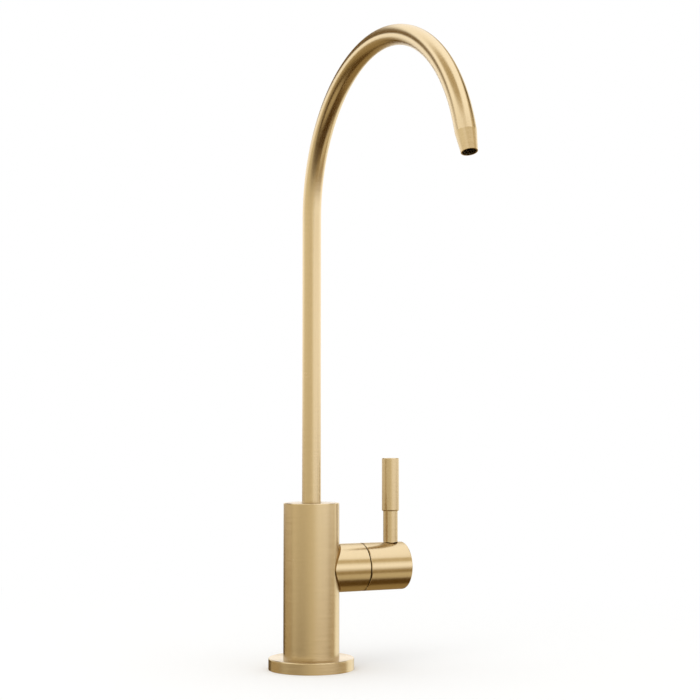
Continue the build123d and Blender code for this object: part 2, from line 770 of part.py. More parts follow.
# Set screw under the hub, its point on the spindle and a hexagon socket in its outer end
set_screw_tip = valve_height - spindle_radius - slip_gap
with BuildPart() as hub_set_screw:
    with BuildSketch(Plane.XY.offset(set_screw_tip)):
        with Locations((set_screw_station, 0)):
            Circle(set_screw_diameter / 2)
    extrude(amount=-set_screw_length)
    chamfer(hub_set_screw.edges().group_by(Axis.Z)[0], edge_break)
    chamfer(hub_set_screw.edges().group_by(Axis.Z)[-1], edge_break)
    with BuildSketch(Plane.XY.offset(set_screw_tip - set_screw_length)):
        with Locations((set_screw_station, 0)):
            RegularPolygon(set_screw_hex / 2, 6, major_radius=False)
    extrude(amount=set_screw_hex_depth, mode=Mode.SUBTRACT)
hub_set_screw.part.label = "hub_set_screw"
export_step(hub_set_screw.part, "parts/hub_set_screw.step")


# Lever stem: threaded foot in the hub, flat shoulder on the hub's crest, spigot for the grip
lever_foot_bottom = lever_hole_floor + lever_foot_gap
grip_spigot_radius = lever_stem_diameter / 2 - grip_spigot_step
grip_spigot_length = grip_length - grip_top_thickness
with BuildPart() as lever_stem:
    with BuildSketch(Plane.XY.offset(lever_foot_bottom)):
        with Locations((lever_station, 0)):
            Circle(lever_foot_radius)
    extrude(amount=lever_shoulder - lever_foot_bottom)
    chamfer(lever_stem.edges().group_by(Axis.Z)[0], edge_break)
    with BuildSketch(Plane.XY.offset(lever_shoulder)):
        with Locations((lever_station, 0)):
            Circle(lever_stem_diameter / 2)
    extrude(amount=grip_bottom - lever_shoulder)
    with BuildSketch(Plane.XY.offset(grip_bottom)):
        with Locations((lever_station, 0)):
            Circle(grip_spigot_radius)
    extrude(amount=grip_spigot_length)
    chamfer(lever_stem.edges().group_by(Axis.Z)[-1], edge_break)
lever_stem.part.label = "lever_stem"
export_step(lever_stem.part, "parts/lever_stem.step")


# Lever grip: closed sleeve with a rounded lower edge and a crisp flat top
with BuildPart() as lever_grip:
    with BuildSketch(Plane.XY.offset(grip_bottom)):
        with Locations((lever_station, 0)):
            Circle(lever_stem_diameter / 2 + grip_step)
    extrude(amount=grip_length)
    fillet(lever_grip.edges().group_by(Axis.Z)[0], grip_lower_radius)
    chamfer(lever_grip.edges().group_by(Axis.Z)[-1], grip_top_chamfer)
    with BuildSketch(Plane.XY.offset(grip_bottom)):
        with Locations((lever_station, 0)):
            Circle(grip_spigot_radius + slip_gap)
    extrude(amount=grip_spigot_length + seat_gap, mode=Mode.SUBTRACT)
lever_grip.part.label = "lever_grip"
export_step(lever_grip.part, "parts/lever_grip.step")


# Slippery washer on the floor of the spout's socket
with BuildPart() as spout_washer:
    with BuildSketch(Plane.XY.offset(socket_floor)):
        Circle(swivel_radius)
        Circle(swivel_radius - spout_washer_width, mode=Mode.SUBTRACT)
    extrude(amount=spout_washer_thickness)
spout_washer.part.label = "spout_washer"
export_step(spout_washer.part, "parts/spout_washer.step")


# Swivel insert: turned fitting in the tube's foot, with two seal grooves and one for the ring
with BuildPart() as swivel_insert:
    with BuildSketch(Plane.XY.offset(swivel_start)):
        Circle(swivel_radius)
    extrude(amount=swivel_length)
    chamfer(swivel_insert.edges().group_by(Axis.Z)[0], edge_break)
    with BuildSketch(Plane.XY.offset(tube_foot)):
        Circle(tube_bore_radius - slip_gap)
    extrude(amount=swivel_spigot_length)
    for height in spout_seal_heights:
        with BuildSketch(Plane.XY.offset(height)):
            Circle(swivel_radius)
            Circle(swivel_radius - spout_seal_groove_depth, mode=Mode.SUBTRACT)
        extrude(amount=spout_seal_groove_width, mode=Mode.SUBTRACT)
    with BuildSketch(Plane.XY.offset(snap_ring_height)):
        Circle(swivel_radius)
        Circle(swivel_radius - snap_ring_inner_groove_depth, mode=Mode.SUBTRACT)
    extrude(amount=snap_ring_groove_width, mode=Mode.SUBTRACT)
    with BuildSketch(Plane.XY.offset(swivel_start)):
        Circle(swivel_bore_radius)
    extrude(amount=swivel_length + swivel_spigot_length, mode=Mode.SUBTRACT)
swivel_insert.part.label = "swivel_insert"
export_step(swivel_insert.part, "parts/swivel_insert.step")


# Two seals on the swivel insert
spout_seal_floor = swivel_radius - spout_seal_groove_depth
spout_seal_section = (socket_radius - spout_seal_floor) / 2 - seal_gap
with BuildPart() as spout_o_rings:
    with BuildSketch(Plane.XZ):
        for height in spout_seal_heights:
            with Locations(
                (
                    (socket_radius + spout_seal_floor) / 2,
                    height + spout_seal_groove_width / 2,
                )
            ):
                Circle(spout_seal_section)
    revolve(axis=Axis.Z)
spout_o_rings.part.label = "spout_o_rings"
export_step(spout_o_rings.part, "parts/spout_o_rings.step")


# Snap ring: open ring that lies in the body's groove and the insert's groove together
snap_ring_inner = swivel_radius - snap_ring_inner_groove_depth + snap_ring_radial_gap
snap_ring_outer = socket_radius + snap_ring_outer_groove_depth - snap_ring_radial_gap
snap_ring_lift = (snap_ring_groove_width - snap_ring_thickness) / 2
with BuildPart() as spout_snap_ring:
    with BuildSketch(Plane.XY.offset(snap_ring_height + snap_ring_lift)):
        Circle(snap_ring_outer)
        Circle(snap_ring_inner, mode=Mode.SUBTRACT)
        Rectangle(
            snap_ring_mouth,
            snap_ring_outer,
            align=(Align.CENTER, Align.MIN),
            mode=Mode.SUBTRACT,
        )
    extrude(amount=snap_ring_thickness)
spout_snap_ring.part.label = "spout_snap_ring"
export_step(spout_snap_ring.part, "parts/spout_snap_ring.step")


# The spout's centre line: straight riser, a rising quarter arc, a slightly wider falling arc
# and a short straight run, all in the plane that faces forward
with BuildLine(spout_plane) as spout_line:
    riser = Line((0, tube_foot), (0, riser_top))
    rise = JernArc(riser @ 1, riser % 1, rise_radius, -90)
    fall = JernArc(rise @ 1, rise % 1, fall_radius, -fall_angle)
    tip_run = Line(fall @ 1, fall @ 1 + (fall % 1) * tip_run_length)
tip_end = tip_run @ 1
tip_direction = tip_run % 1
tip_section = Plane(origin=tip_end, x_dir=(1, 0, 0), z_dir=tip_direction)


# Spout tube: one bent tube along the centre line
with BuildPart() as spout_tube:
    with BuildSketch(Plane.XY.offset(tube_foot)):
        Circle(tube_radius)
        Circle(tube_bore_radius, mode=Mode.SUBTRACT)
    sweep(path=spout_line.line)
spout_tube.part.label = "spout_tube"
export_step(spout_tube.part, "parts/spout_tube.step")


# Spout nozzle: tapered tip on a spigot in the tube's end, bored wide at the mouth
mouth_radius = tube_radius - nozzle_taper
mouth_bore_radius = mouth_radius - nozzle_wall
nozzle_bore_radius = tube_bore_radius - slip_gap - nozzle_spigot_wall
insert_mouth = nozzle_length - insert_recess
insert_seat = insert_mouth - insert_length
with BuildPart() as spout_nozzle:
    with BuildSketch(tip_section):
        Circle(tube_radius)
    with BuildSketch(tip_section.offset(nozzle_length)):
        Circle(mouth_radius)
    loft(ruled=True)
    with BuildSketch(tip_section):
        Circle(tube_bore_radius - slip_gap)
    extrude(amount=-nozzle_spigot_length)
    with BuildSketch(tip_section.offset(-nozzle_spigot_length)):
        Circle(nozzle_bore_radius)
    extrude(amount=nozzle_spigot_length + nozzle_length, mode=Mode.SUBTRACT)
    with BuildSketch(tip_section.offset(insert_seat)):
        Circle(mouth_bore_radius)
    extrude(amount=nozzle_length, mode=Mode.SUBTRACT)
spout_nozzle.part.label = "spout_nozzle"
export_step(spout_nozzle.part, "parts/spout_nozzle.step")


# Outlet insert: small perforated flow straightener, set back inside the mouth
insert_radius = mouth_bore_radius - slip_gap
insert_hole_ring = insert_radius - insert_rim - insert_hole_diameter / 2
with BuildPart() as outlet_insert:
    with BuildSketch(tip_section.offset(insert_mouth)):
        Circle(insert_radius)
        Circle(insert_hole_diameter / 2, mode=Mode.SUBTRACT)
        with PolarLocations(insert_hole_ring, insert_hole_count):
            Circle(insert_hole_diameter / 2, mode=Mode.SUBTRACT)
    extrude(amount=-insert_length)
outlet_insert.part.label = "outlet_insert"
export_step(outlet_insert.part, "parts/outlet_insert.step")
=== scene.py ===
import math

import bmesh
import bpy
from bpy.props import FloatProperty, FloatVectorProperty, IntProperty, PointerProperty
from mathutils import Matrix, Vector


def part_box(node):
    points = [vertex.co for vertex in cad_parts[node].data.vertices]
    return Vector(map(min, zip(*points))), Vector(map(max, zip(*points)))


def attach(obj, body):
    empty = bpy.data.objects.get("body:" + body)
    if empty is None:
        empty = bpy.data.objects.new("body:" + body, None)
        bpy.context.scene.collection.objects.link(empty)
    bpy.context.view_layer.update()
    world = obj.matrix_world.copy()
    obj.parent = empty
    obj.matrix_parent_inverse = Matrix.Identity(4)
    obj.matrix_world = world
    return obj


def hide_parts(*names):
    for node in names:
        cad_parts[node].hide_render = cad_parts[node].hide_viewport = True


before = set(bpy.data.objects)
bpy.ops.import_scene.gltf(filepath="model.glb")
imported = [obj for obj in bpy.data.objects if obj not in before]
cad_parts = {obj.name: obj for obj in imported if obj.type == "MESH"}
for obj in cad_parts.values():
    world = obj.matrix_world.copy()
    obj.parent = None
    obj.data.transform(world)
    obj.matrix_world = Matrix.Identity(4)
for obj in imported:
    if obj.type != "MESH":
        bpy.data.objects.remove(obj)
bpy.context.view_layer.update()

bl_info = {
    "name": "Drinking water faucet",
    "version": (1, 0, 0),
    "blender": (4, 5, 0),
    "location": "3D View > Sidebar > Faucet",
    "description": "Finishes, thread, bent tube, floor and light for a drinking water faucet",
    "category": "Object",
}

MM = 0.001
UP = Vector((0, 0, 1))
RIGHT = Vector((1, 0, 0))
FORWARD = Vector((0, -1, 0))
WHITE = (1.0, 1.0, 1.0, 1.0)
# Places of the colour sockets and of the number sockets on a Mix node
COLOUR_A, COLOUR_B, COLOUR_OUT = 6, 7, 2
NUMBER_A, NUMBER_B, NUMBER_OUT = 2, 3, 0
# Edges sharper than this stay sharp in the shading
SHARP = math.radians(35)
# Points of a mesh that are closer than this are one point
WELD = 0.001 * MM
# Anisotropic Rotation, in turns, that spreads a highlight across the tangent
ACROSS = 0.25
# How strongly the brush lines spread a highlight on the satin brass
SATIN_STRETCH = 0.62
# Bare turned brass: its shine, and the rings that the lathe leaves, as drawn
TURNED_ROUGHNESS = 0.26
TURNED_STRETCH = 0.5
RING_SPACING = 0.5 * MM
RING_DEPTH = 0.01 * MM
# Size of the soft clouds in a turned metal's shine, and their share next to the lines
CLOUD_SIZE = 18 * MM
CLOUD_SHARE = 0.35
# Rolled steel's grain is long in one direction: its scale along each axis
ROLLED = (1.0, 0.12, 1.0)
# Widths of the thread's ridge at its foot and at its crest, as shares of the pitch
FOOT_SHARE = 0.96
CREST_SHARE = 0.14
# Share of its radius to which the ridge sinks where the thread runs out
RUN_OUT = 0.88
# The floor lies a hair below the flange, so the two faces don't flicker
FLOOR_DROP = 0.05 * MM
# Radius up to which the floor takes the full shadow, and from which it is plain white
FLOOR_FADE = (0.12, 0.45)
# Sines of the elevations between which the tent's colours blend: near table, darkened with painted
# shade of the faucet, to far table, then table to cloth
TABLE_BLEND = (-0.7, -0.5)
CLOTH_BLEND = (-0.23, 0.02)
# A card has no colour left at the first of these shares of its half size, and all of it
# from the second inwards
CARD_FADE = (1.15, 0.7)
# The soft lamp's place, the point it faces and its width
LAMP_PLACE = Vector((-0.8, -0.7, 1.4))
LAMP_AIM = Vector((0, 0, 0.1))
LAMP_WIDTH = 1.2

# What the metal mirrors: azimuth and elevation of each card's middle, half its width and height
# (all in degrees; azimuth 0 is behind the faucet, 90 on its right), and its colour
CARDS = (
    ("left_ceiling", -118, 64, 29, 20, "#B9A885"),
    ("left_wall", -112, 3, 80, 30, "#E0D7C0"),
    ("rear_flag", -14, 34, 44, 13, "#6A532C"),
    ("right_flag", 86, 38, 67, 15, "#C7B899"),
    ("rear_step", -26, -9, 45, 12, "#A6936D"),
    ("right_step", 73, -17, 75, 20, "#A8956F"),
    ("right_white", 68, -15, 30, 18, "#FFFEF7"),
    ("front_dark", -151, -53, 80, 18, "#463010"),
    ("left_dark", -109, -43, 54, 38, "#4A3413"),
    ("left_patch", -91, -52, 17, 25, "#BEAE8C"),
    ("rear_dark", -3, -8, 16, 6, "#4D3715"),
    ("rear_patch", 47, -43, 24, 34, "#958058"),
    ("front_patch", 131, -34, 31, 13, "#D2C6AA"),
    ("front_flag", 176, 32, 65, 10, "#C9BB9C"),
    ("right_pale", 57, 25, 17, 9, "#FFFDF2"),
    ("right_dark", 88, 39, 12, 9, "#453010"),
)


def srgb(text):
    """Linear colour of a hex value such as #C9AA70."""
    values = [int(text[i:i + 2], 16) / 255 for i in (1, 3, 5)]
    return tuple(v / 12.92 if v <= 0.04045 else ((v + 0.055) / 1.055) ** 2.4 for v in values)


def middle(node):
    """Middle of a CAD node's box."""
    low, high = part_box(node)
    return (low + high) / 2


def width(node):
    """Size of a CAD node from left to right."""
    low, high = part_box(node)
    return high.x - low.x


class SpoutSizes(bpy.types.PropertyGroup):
    """Sizes of the bent tube."""

    diameter: FloatProperty(
        name="Diameter", description="Outside diameter of the tube",
        default=width("spout_tube"), unit="LENGTH",
    )
    wall: FloatProperty(
        name="Wall", description="Thickness of the tube's wall", default=1.0 * MM, unit="LENGTH",
    )
    riser_top: FloatProperty(
        name="Riser top", description="Height at which the straight riser ends",
        default=225.6 * MM, unit="LENGTH",
    )
    rise_radius: FloatProperty(
        name="Rise radius", description="Centre line radius of the rising quarter arc",
        default=75.5 * MM, unit="LENGTH",
    )
    fall_radius: FloatProperty(
        name="Fall radius", description="Centre line radius of the falling arc",
        default=76.5 * MM, unit="LENGTH",
    )
    fall_angle: FloatProperty(
        name="Fall angle", description="How far the falling arc turns",
        default=math.radians(72.4), subtype="ANGLE",
    )
    tip_run: FloatProperty(
        name="Tip run", description="Straight run after the falling arc",
        default=3.3 * MM, unit="LENGTH",
    )
    sides: IntProperty(name="Sides", description="Faces round the tube", default=72, min=12)
    arc_step: FloatProperty(
        name="Arc step", description="Angle between two rings of the arcs",
        default=math.radians(1.0), subtype="ANGLE",
    )


class ThreadSizes(bpy.types.PropertyGroup):
    """Sizes of the hollow nipple and its thread."""

    pitch: FloatProperty(
        name="Pitch", description="Distance from one thread to the next, 24 to the inch",
        default=25.4 / 24 * MM, unit="LENGTH",
    )
    depth: FloatProperty(
        name="Depth", description="Depth of the thread", default=0.6 * MM, unit="LENGTH",
    )
    sink: FloatProperty(
        name="Sink", description="How deep the ridge's foot is sunk into the nipple",
        default=0.15 * MM, unit="LENGTH",
    )
    bore: FloatProperty(
        name="Bore", description="Inside diameter of the shank", default=7.0 * MM, unit="LENGTH",
    )
    sides: IntProperty(
        name="Sides", description="Faces in one turn of the thread", default=48, min=12,
    )


class FinishSizes(bpy.types.PropertyGroup):
    """Colours of the finishes and the scale of their patterns."""

    satin_colour: FloatVectorProperty(
        name="Satin brass", description="Colour of the brushed, gold-coloured brass",
        default=srgb("#EAD3A8"), size=3, subtype="COLOR",
    )
    satin_roughness: FloatProperty(
        name="Satin roughness", description="Mean roughness of the brushed brass",
        default=0.25, min=0, max=1,
    )
    brush_spacing: FloatProperty(
        name="Brush spacing", description="Mean distance between the brush lines as drawn",
        default=1.1 * MM, unit="LENGTH",
    )
    brush_length: FloatProperty(
        name="Brush length", description="Mean length of a brush line",
        default=10 * MM, unit="LENGTH",
    )
    brush_depth: FloatProperty(
        name="Brush depth", description="Height of the relief that the brush lines give",
        default=0.015 * MM, unit="LENGTH",
    )
    machined_colour: FloatVectorProperty(
        name="Machined brass", description="Colour of the plain turned brass",
        default=srgb("#DDBB6C"), size=3, subtype="COLOR",
    )
    zinc_colour: FloatVectorProperty(
        name="Zinc", description="Colour of the zinc-plated steel",
        default=srgb("#C6CACE"), size=3, subtype="COLOR",
    )
    spring_colour: FloatVectorProperty(
        name="Spring steel", description="Colour of the spring steel",
        default=srgb("#A7A8AB"), size=3, subtype="COLOR",
    )
    rubber_colour: FloatVectorProperty(
        name="Rubber", description="Colour of the black rubber",
        default=srgb("#1C1C1D"), size=3, subtype="COLOR",
    )
    acetal_colour: FloatVectorProperty(
        name="White acetal", description="Colour of the connector's moulded acetal",
        default=srgb("#E6E5DF"), size=3, subtype="COLOR",
    )
    collet_colour: FloatVectorProperty(
        name="Grey acetal", description="Colour of the collet's moulded acetal",
        default=srgb("#9EA2A6"), size=3, subtype="COLOR",
    )
    insert_colour: FloatVectorProperty(
        name="Dark plastic", description="Colour of the outlet insert",
        default=srgb("#0E0D0C"), size=3, subtype="COLOR",
    )
    washer_colour: FloatVectorProperty(
        name="Slippery plastic", description="Colour of the slippery washers",
        default=srgb("#F0EFEA"), size=3, subtype="COLOR",
    )
    ceramic_colour: FloatVectorProperty(
        name="Ceramic", description="Colour of the lapped alumina discs",
        default=srgb("#EFEEE9"), size=3, subtype="COLOR",
    )


class StageSizes(bpy.types.PropertyGroup):
    """Camera, floor and light."""

    camera_place: FloatVectorProperty(
        name="Camera place", description="Where the photograph's camera stands",
        default=(-0.3414, -0.7078, 0.1184), size=3, subtype="TRANSLATION",
    )
    camera_turn: FloatVectorProperty(
        name="Camera turn", description="How the camera is turned",
        default=(math.radians(92.98), 0.0, math.radians(-27.16)), size=3, subtype="EULER",
    )
    camera_lens: FloatProperty(
        name="Lens", description="Focal length in millimetres, on a sensor 36 mm wide",
        default=80.25, min=1,
    )
    floor_radius: FloatProperty(
        name="Floor radius", description="Radius of the round floor", default=4.0, unit="LENGTH",
    )
    floor_colour: FloatVectorProperty(
        name="Floor", description="Colour of the pale floor",
        default=srgb("#FBFBFA"), size=3, subtype="COLOR",
    )
    tent_radius: FloatProperty(
        name="Tent radius", description="Radius of the light tent that the metal mirrors",
        default=2.5, unit="LENGTH",
    )
    tent_white: FloatVectorProperty(
        name="Tent", description="Light of the tent's cool white cloth",
        default=(1.18, 1.19, 1.23), size=3, min=0, soft_max=2,
    )
    tent_twice: FloatProperty(
        name="Tent seen twice",
        description="Light left of the tent where one piece mirrors another that mirrors it",
        default=0.6, min=0, max=1,
    )
    # Near the faucet the table is darker as painted shade: the faucet's own shadow on it, as the
    # metal mirrors it
    table_near_shaded: FloatVectorProperty(
        name="Table near", description="Colour of the brown table under the tent, near the faucet",
        default=srgb("#57401C"), size=3, subtype="COLOR",
    )
    table_far: FloatVectorProperty(
        name="Table far", description="Colour of the brown table under the tent, far away",
        default=srgb("#9E8A62"), size=3, subtype="COLOR",
    )
    sky_light: FloatProperty(
        name="Sky light", description="Light from all round on surfaces that scatter it",
        default=0.97, min=0,
    )
    lamp_power: FloatProperty(
        name="Lamp power", description="Power of the soft lamp in watts", default=4.0, min=0,
    )


class FaucetSettings(bpy.types.PropertyGroup):
    """All settings of the faucet."""

    spout: PointerProperty(type=SpoutSizes)
    thread: PointerProperty(type=ThreadSizes)
    finish: PointerProperty(type=FinishSizes)
    stage: PointerProperty(type=StageSizes)


def add_node(tree, kind, inputs=None, **settings):
    """Adds a node. An input gets the value given, or a link where the value is a socket."""
    node = tree.nodes.new(kind)
    for name, value in settings.items():
        setattr(node, name, value)
    for key, value in (inputs or {}).items():
        if isinstance(value, bpy.types.NodeSocket):
            tree.links.new(value, node.inputs[key])
        else:
            node.inputs[key].default_value = value
    return node


def number_math(tree, operation, *numbers, **settings):
    """The result of one Math node."""
    return add_node(
        tree, "ShaderNodeMath", dict(enumerate(numbers)), operation=operation, **settings,
    ).outputs["Value"]


def vector_math(tree, operation, *vectors):
    """The result of one Vector Math node: a number from a length or a dot product."""
    node = add_node(tree, "ShaderNodeVectorMath", dict(enumerate(vectors)), operation=operation)
    return node.outputs["Value" if operation in ("LENGTH", "DOT_PRODUCT") else "Vector"]


def number_mix(tree, factor, first, second):
    """A blend of two numbers."""
    return add_node(
        tree, "ShaderNodeMix", {0: factor, NUMBER_A: first, NUMBER_B: second}, data_type="FLOAT",
    ).outputs[NUMBER_OUT]


def colour_mix(tree, factor, first, second):
    """A blend of two colours."""
    return add_node(
        tree, "ShaderNodeMix", {0: factor, COLOUR_A: first, COLOUR_B: second}, data_type="RGBA",
    ).outputs[COLOUR_OUT]


def soft_step(tree, value, begin, end):
    """Rises softly from 0 where the value is at begin to 1 where it is at end."""
    return add_node(
        tree, "ShaderNodeMapRange", {"Value": value, "From Min": begin, "From Max": end},
        interpolation_type="SMOOTHSTEP",
    ).outputs["Result"]


def empty_material(name):
    """A material without nodes, and its tree."""
    material = bpy.data.materials.new(name)
    material.use_nodes = True
    material.node_tree.nodes.clear()
    return material, material.node_tree


def new_material(name, shader_inputs):
    """A material with a Principled shader that has these constants."""
    material, tree = empty_material(name)
    shader = add_node(tree, "ShaderNodeBsdfPrincipled", shader_inputs)
    add_node(tree, "ShaderNodeOutputMaterial", {"Surface": shader.outputs["BSDF"]})
    return material, tree, shader


def noise(tree, place, size, detail):
    """A cloud pattern whose clouds are as large as size."""
    return add_node(
        tree, "ShaderNodeTexNoise", {"Vector": place, "Scale": 1 / size, "Detail": detail},
    ).outputs["Fac"]


def dress(tree, shader, colour, shades, height, contrast, roughness, spread, relief):
    """Lets the colour and the roughness follow the shades, and the relief the height."""
    dark = [c * (1 - contrast) for c in colour]
    light = [min(1.0, c * (1 + contrast)) for c in colour]
    shade = colour_mix(tree, shades, (*dark, 1.0), (*light, 1.0))
    rough = add_node(
        tree, "ShaderNodeMapRange",
        {"Value": shades, "To Min": roughness - spread, "To Max": roughness + spread},
    )
    bump = add_node(tree, "ShaderNodeBump", {"Height": height, "Distance": relief})
    tree.links.new(shade, shader.inputs["Base Color"])
    tree.links.new(rough.outputs["Result"], shader.inputs["Roughness"])
    tree.links.new(bump.outputs["Normal"], shader.inputs["Normal"])


def turned_metal(name, colour, roughness, stretch, finish, spacing, depth, axis=None, point=None):
    """A metal with rings or lines that run round the piece.

    They spread a reflection along the piece and keep it crisp across. On a turned piece they are
    rings on its side and on its end alike, so the pattern runs with the height along the axis
    plus the distance from it. With no axis, the piece brings its own lines as attributes.
    """
    material, tree, shader = new_material(
        name, {"Metallic": 1.0, "Anisotropic": stretch, "Anisotropic Rotation": ACROSS},
    )
    place = add_node(tree, "ShaderNodeTexCoord").outputs["Object"]
    if axis is None:
        along = add_node(tree, "ShaderNodeAttribute", attribute_name="brush_along").outputs["Fac"]
        around = add_node(
            tree, "ShaderNodeAttribute", attribute_name="brush_around",
        ).outputs["Vector"]
    else:
        arm = vector_math(tree, "SUBTRACT", place, point)
        height = vector_math(tree, "DOT_PRODUCT", arm, axis)
        around = vector_math(tree, "CROSS_PRODUCT", axis, arm)
        radius = vector_math(tree, "LENGTH", around)
        along = number_math(tree, "ADD", height, radius)
    turn = add_node(
        tree, "ShaderNodeVectorTransform", {"Vector": around},
        vector_type="VECTOR", convert_from="OBJECT", convert_to="WORLD",
    )
    tree.links.new(turn.outputs["Vector"], shader.inputs["Tangent"])
    flat = add_node(tree, "ShaderNodeSeparateXYZ", {"Vector": place}).outputs
    steps = number_math(tree, "MULTIPLY", along, finish.brush_length / spacing)
    line_place = add_node(
        tree, "ShaderNodeCombineXYZ", {"X": flat["X"], "Y": flat["Y"], "Z": steps},
    ).outputs["Vector"]
    lines = noise(tree, line_place, finish.brush_length, detail=2.0)
    clouds = noise(tree, place, CLOUD_SIZE, detail=1.0)
    dress(
        tree, shader, colour, number_mix(tree, CLOUD_SHARE, lines, clouds), lines,
        contrast=0.07, roughness=roughness, spread=0.06, relief=depth,
    )
    return material


def satin_brass(name, finish, axis=None, point=None):
    """Brass with a gold-coloured plate, brushed to a satin: soft bands of light along each piece.

    The real brush lines are about 0.05 mm apart, too fine to show, so they are drawn coarser.
    """
    return turned_metal(
        name, finish.satin_colour, finish.satin_roughness, SATIN_STRETCH, finish,
        finish.brush_spacing, finish.brush_depth, axis, point,
    )


def machined_brass(name, finish, axis, point):
    """Free-cutting brass, turned and left bare: yellower than the plate, with rings from the tool.

    The real rings are 0.1 mm apart and are drawn 0.5 mm apart, so that they show.
    """
    return turned_metal(
        name, finish.machined_colour, TURNED_ROUGHNESS, TURNED_STRETCH, finish,
        RING_SPACING, RING_DEPTH, axis, point,
    )


def sheet_steel(name, colour, roughness, grain):
    """Stamped or drawn steel: grain in one direction and a slightly cloudy shine."""
    material, tree, shader = new_material(name, {"Metallic": 1.0})
    place = add_node(tree, "ShaderNodeTexCoord").outputs["Object"]
    rolled = add_node(
        tree, "ShaderNodeMapping", {"Vector": place, "Scale": ROLLED},
    ).outputs["Vector"]
    dress(
        tree, shader, colour,
        noise(tree, place, size=4 * MM, detail=3.0), noise(tree, rolled, grain, detail=3.0),
        contrast=0.08, roughness=roughness, spread=0.07, relief=0.006 * MM,
    )
    return material


def moulded(name, colour, shader_inputs, roughness, grain, relief):
    """A moulded or pressed material: faint flow clouds in its colour, and a fine grain."""
    material, tree, shader = new_material(name, shader_inputs)
    place = add_node(tree, "ShaderNodeTexCoord").outputs["Object"]
    dress(
        tree, shader, colour,
        noise(tree, place, size=7 * MM, detail=2.0), noise(tree, place, grain, detail=3.0),
        contrast=0.05, roughness=roughness, spread=0.06, relief=relief,
    )
    return material


def give(material, *names):
    """Puts a material on carried-over CAD nodes."""
    for name in names:
        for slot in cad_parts[name].material_slots:
            slot.material = material


def shown(name, data):
    """An object for a mesh, curve, lamp or camera, in the scene."""
    piece = bpy.data.objects.new(name, data)
    bpy.context.scene.collection.objects.link(piece)
    return piece


def finished_mesh(name, shape):
    """A mesh from a bmesh, which is freed."""
    mesh = bpy.data.meshes.new(name)
    shape.to_mesh(mesh)
    shape.free()
    return mesh


def keep_smooth(mesh):
    """Shades a mesh smooth, with its sharp edges left sharp."""
    mesh.shade_smooth()
    mesh.set_sharp_from_angle(angle=SHARP)


def set_inputs(modifier, values):
    """Sets a Geometry Nodes modifier's inputs, found by name and set by identifier."""
    for item in modifier.node_group.interface.items_tree:
        if item.item_type == "SOCKET" and item.in_out == "INPUT" and item.name in values:
            modifier[item.identifier] = values[item.name]


def new_geometry_tree(name, sizes, counts):
    """An empty Geometry Nodes tree with named inputs. Returns the tree and its input sockets."""
    tree = bpy.data.node_groups.new(name, "GeometryNodeTree")
    tree.interface.new_socket("Geometry", in_out="INPUT", socket_type="NodeSocketGeometry")
    tree.interface.new_socket("Geometry", in_out="OUTPUT", socket_type="NodeSocketGeometry")
    for label in sizes:
        tree.interface.new_socket(label, in_out="INPUT", socket_type="NodeSocketFloat")
    for label in counts:
        tree.interface.new_socket(label, in_out="INPUT", socket_type="NodeSocketInt")
    tree.interface.new_socket("Material", in_out="INPUT", socket_type="NodeSocketMaterial")
    return tree, tree.nodes.new("NodeGroupInput").outputs


def end_geometry_tree(tree, geometry, material):
    """Ends a tree in real, finished faces."""
    real = add_node(tree, "GeometryNodeRealizeInstances", {"Geometry": geometry})
    done = add_node(
        tree, "GeometryNodeSetMaterial",
        {"Geometry": real.outputs["Geometry"], "Material": material},
    )
    add_node(tree, "NodeGroupOutput", {"Geometry": done.outputs["Geometry"]})


def made_piece(source, tree, values, name):
    """Runs a tree on the source object and keeps the result as a plain mesh object."""
    modifier = source.modifiers.new(tree.name, "NODES")
    modifier.node_group = tree
    set_inputs(modifier, values)
    bpy.context.view_layer.update()
    evaluated = source.evaluated_get(bpy.context.evaluated_depsgraph_get())
    mesh = bpy.data.meshes.new_from_object(evaluated)
    mesh.name = name
    source.modifiers.clear()
    bpy.data.objects.remove(source)
    # The source had no material, which leaves an empty slot before the tree's own
    mesh.materials.clear()
    mesh.materials.append(values["Material"])
    mesh.polygons.foreach_set("material_index", [0] * len(mesh.polygons))
    keep_smooth(mesh)
    return shown(name, mesh)


def tip_direction(spout):
    """The direction in which the tube's straight end and the nozzle point."""
    return FORWARD * math.cos(spout.fall_angle) - UP * math.sin(spout.fall_angle)


def spout_line(spout):
    """The tube's centre line as a curve of short runs: riser, rising arc, falling arc, tip."""
    points = [Vector((0, 0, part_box("spout_tube")[0].z)), UP * spout.riser_top]
    arcs = (
        (spout.rise_radius, math.radians(90), -FORWARD, UP),
        (spout.fall_radius, spout.fall_angle, UP, FORWARD),
    )
    for radius, turn, begin, end in arcs:
        centre = points[-1] - begin * radius
        steps = round(turn / spout.arc_step)
        for i in range(1, steps + 1):
            angle = turn * i / steps
            points.append(centre + radius * (begin * math.cos(angle) + end * math.sin(angle)))
    points.append(points[-1] + tip_direction(spout) * spout.tip_run)
    curve = bpy.data.curves.new("spout_line", "CURVE")
    curve.dimensions = "3D"
    spline = curve.splines.new("POLY")
    spline.points.add(len(points) - 1)
    for place, point in zip(spline.points, points):
        place.co = (*point, 1.0)
    return shown("spout_line", curve)


